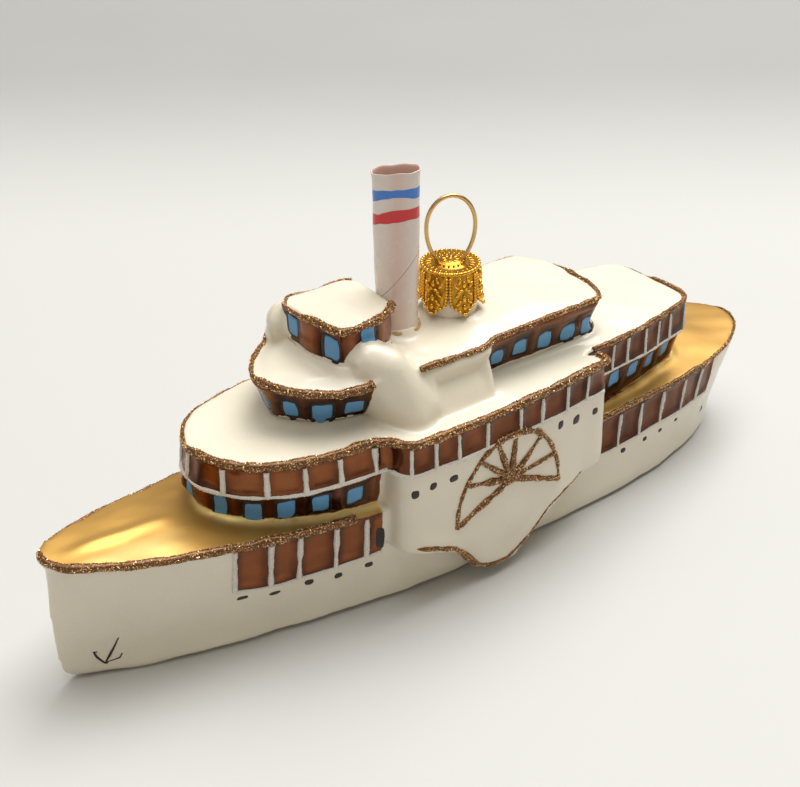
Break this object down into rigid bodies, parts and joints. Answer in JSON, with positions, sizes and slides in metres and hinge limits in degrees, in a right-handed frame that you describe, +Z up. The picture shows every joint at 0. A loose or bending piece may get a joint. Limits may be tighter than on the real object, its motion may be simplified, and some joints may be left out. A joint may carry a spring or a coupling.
{
  "type": "paddle steamer glass ornament",
  "caption": "Blown glass hanging ornament shaped as a paddle steamer, with a glued glass funnel, glitter glue lines, and a stamped metal cap with a wire hanger that pulls out of its neck.",
  "frame": {"origin": "on the floor under the middle of the hull's length, on its centreline", "axes": "+X to the bow, +Y to port, +Z up; the ornament stands on the flat bottom of its hull"},
  "size_m": [0.1412, 0.0396, 0.067],
  "materials": {
    "lacquered_glass": "opaque pearl white, gold and brown lacquer over silvered blown glass",
    "funnel_glass": "milky pearl glass tube with painted stripes",
    "amber_glue": "clear amber glue",
    "stamped_gold_metal": "bright gold, stamped",
    "brass_wire": "bright drawn wire",
    "copper_glitter": "copper glitter in clear glue"
  },
  "bodies": {
    "ornament": {"glass_body": "lacquered_glass", "funnel": "funnel_glass", "funnel_glue": "amber_glue", "bead_fore_gunwale": "copper_glitter", "bead_aft_gunwale": "copper_glitter", "bead_promenade": "copper_glitter", "bead_after_roof": "copper_glitter", "bead_bridge": "copper_glitter", "bead_wheelhouse": "copper_glitter", "bead_deckhouse": "copper_glitter", "bead_wheel_port": "copper_glitter", "bead_wheel_starboard": "copper_glitter", "bead_foot_port": "copper_glitter", "bead_foot_starboard": "copper_glitter"},
    "cap": {"cap": "stamped_gold_metal"},
    "hanger": {"hanger": "brass_wire"}
  },
  "joints": [
    {"name": "cap_lift", "type": "slide", "parent": "ornament", "child": "cap", "axis": [0, 0, 1], "range_m": [0, 0.02]},
    {"name": "hanger_slide", "type": "slide", "parent": "cap", "child": "hanger", "axis": [0, 0, 1], "range_m": [0, 0.003]}
  ]
}
